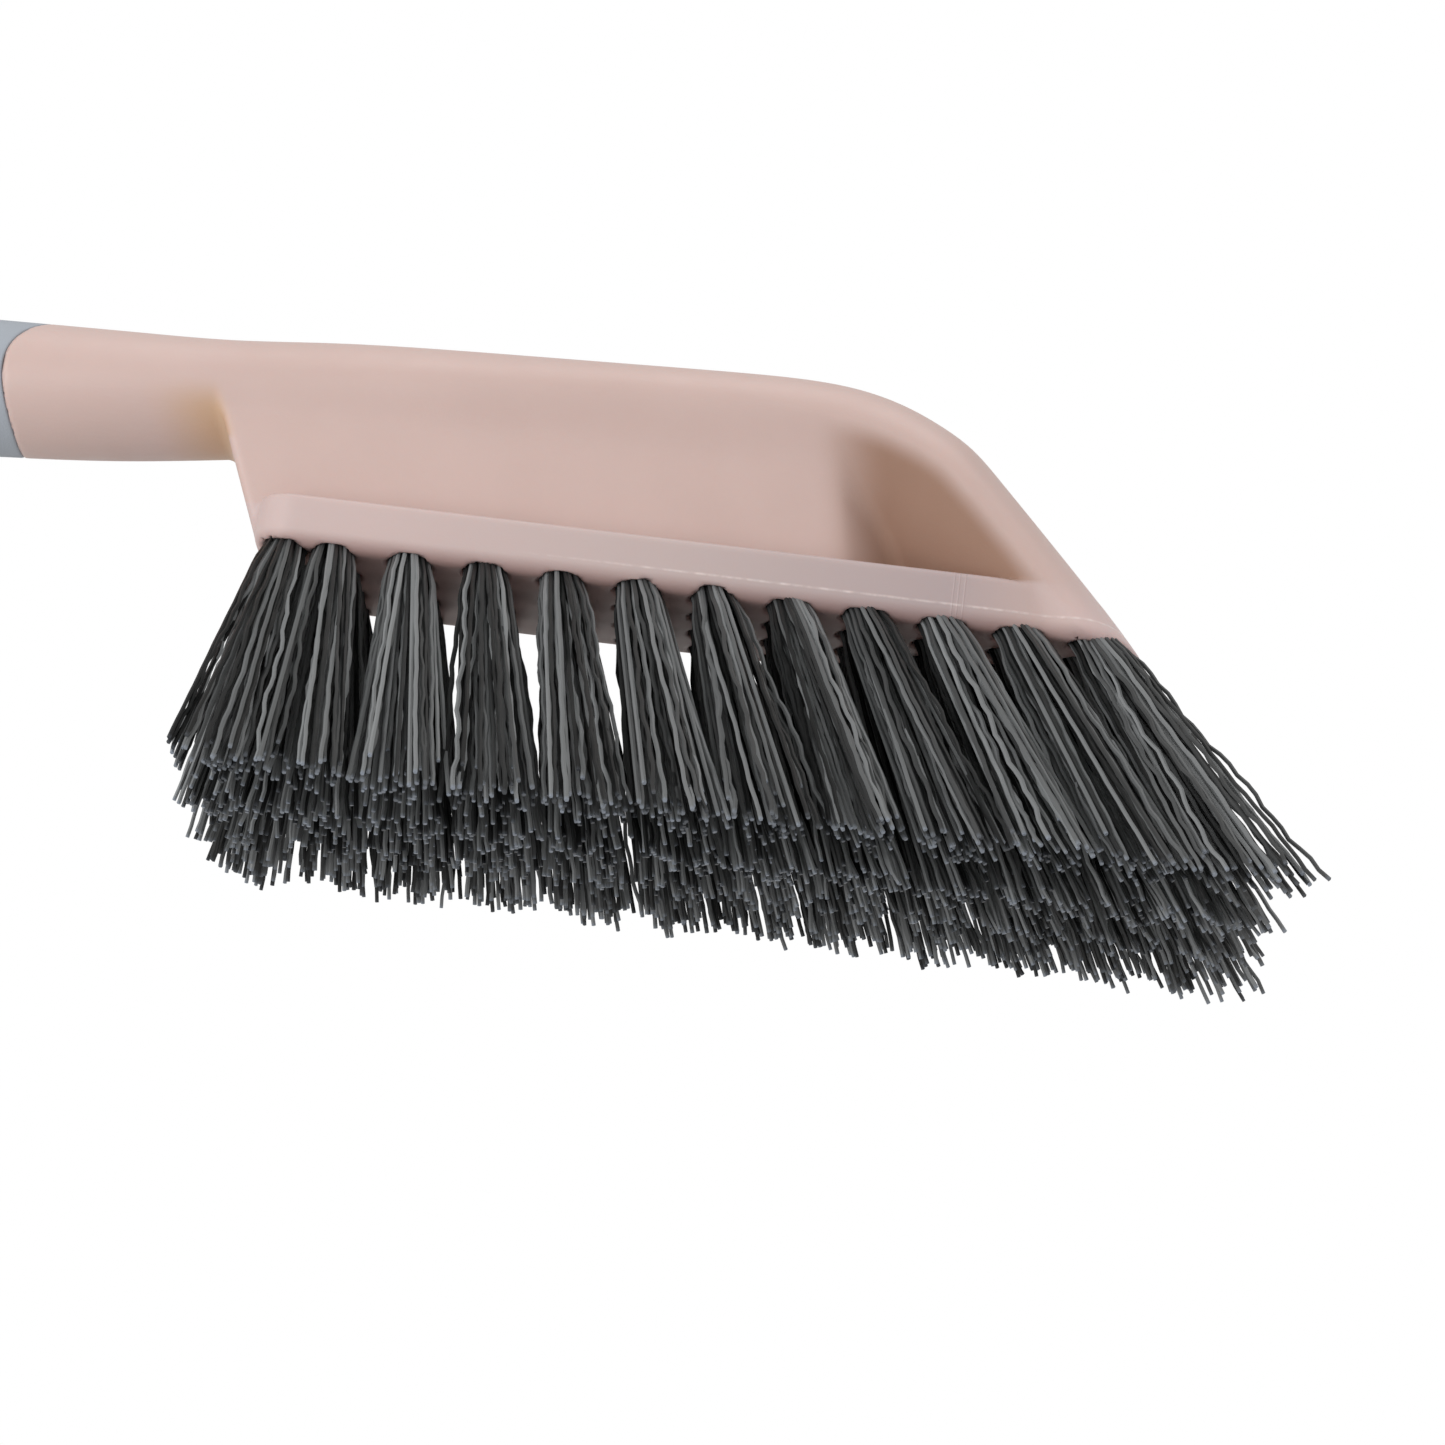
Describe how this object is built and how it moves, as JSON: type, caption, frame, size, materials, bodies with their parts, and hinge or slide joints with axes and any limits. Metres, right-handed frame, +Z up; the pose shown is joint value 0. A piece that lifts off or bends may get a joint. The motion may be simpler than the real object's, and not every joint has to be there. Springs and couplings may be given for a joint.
{
  "type": "hand sweeping brush",
  "caption": "Hand-held sweeping brush: moulded plastic head and neck, soft grip, and a fanned field of crimped bristle tufts under the head.",
  "frame": {"origin": "on the ground under the middle of the brush's length and width, with the brush standing on its bristle tips", "axes": "+X along the length towards the nose, +Y across the head, +Z up"},
  "size_m": [0.2776, 0.068, 0.0727],
  "materials": {
    "pink_plastic": "smooth moulded polypropylene, satin",
    "grip_rubber": "soft matte over-moulding",
    "bristle": "crimped filaments, satin",
    "anchor_wire": "plain drawn wire"
  },
  "bodies": {
    "root": {"brush_body": "pink_plastic", "grip_sleeve": "grip_rubber", "bristle_tuft_a01": "bristle", "bristle_tuft_a02": "bristle", "bristle_tuft_a03": "bristle", "bristle_tuft_a04": "bristle", "bristle_tuft_a05": "bristle", "bristle_tuft_a06": "bristle", "bristle_tuft_a07": "bristle", "bristle_tuft_a08": "bristle", "bristle_tuft_a09": "bristle", "bristle_tuft_a10": "bristle", "bristle_tuft_a11": "bristle", "bristle_tuft_a12": "bristle", "bristle_tuft_b01": "bristle", "bristle_tuft_b02": "bristle", "bristle_tuft_b03": "bristle", "bristle_tuft_b04": "bristle", "bristle_tuft_b05": "bristle", "bristle_tuft_b06": "bristle", "bristle_tuft_b07": "bristle", "bristle_tuft_b08": "bristle", "bristle_tuft_b09": "bristle", "bristle_tuft_b10": "bristle", "bristle_tuft_b11": "bristle", "bristle_tuft_b12": "bristle", "bristle_tuft_c01": "bristle", "bristle_tuft_c02": "bristle", "bristle_tuft_c03": "bristle", "bristle_tuft_c04": "bristle", "bristle_tuft_c05": "bristle", "bristle_tuft_c06": "bristle", "bristle_tuft_c07": "bristle", "bristle_tuft_c08": "bristle", "bristle_tuft_c09": "bristle", "bristle_tuft_c10": "bristle", "bristle_tuft_c11": "bristle", "bristle_tuft_c12": "bristle", "bristle_tuft_d01": "bristle", "bristle_tuft_d02": "bristle", "bristle_tuft_d03": "bristle", "bristle_tuft_d04": "bristle", "bristle_tuft_d05": "bristle", "bristle_tuft_d06": "bristle", "bristle_tuft_d07": "bristle", "bristle_tuft_d08": "bristle", "bristle_tuft_d09": "bristle", "bristle_tuft_d10": "bristle", "bristle_tuft_d11": "bristle", "bristle_tuft_d12": "bristle"}
  },
  "joints": []
}
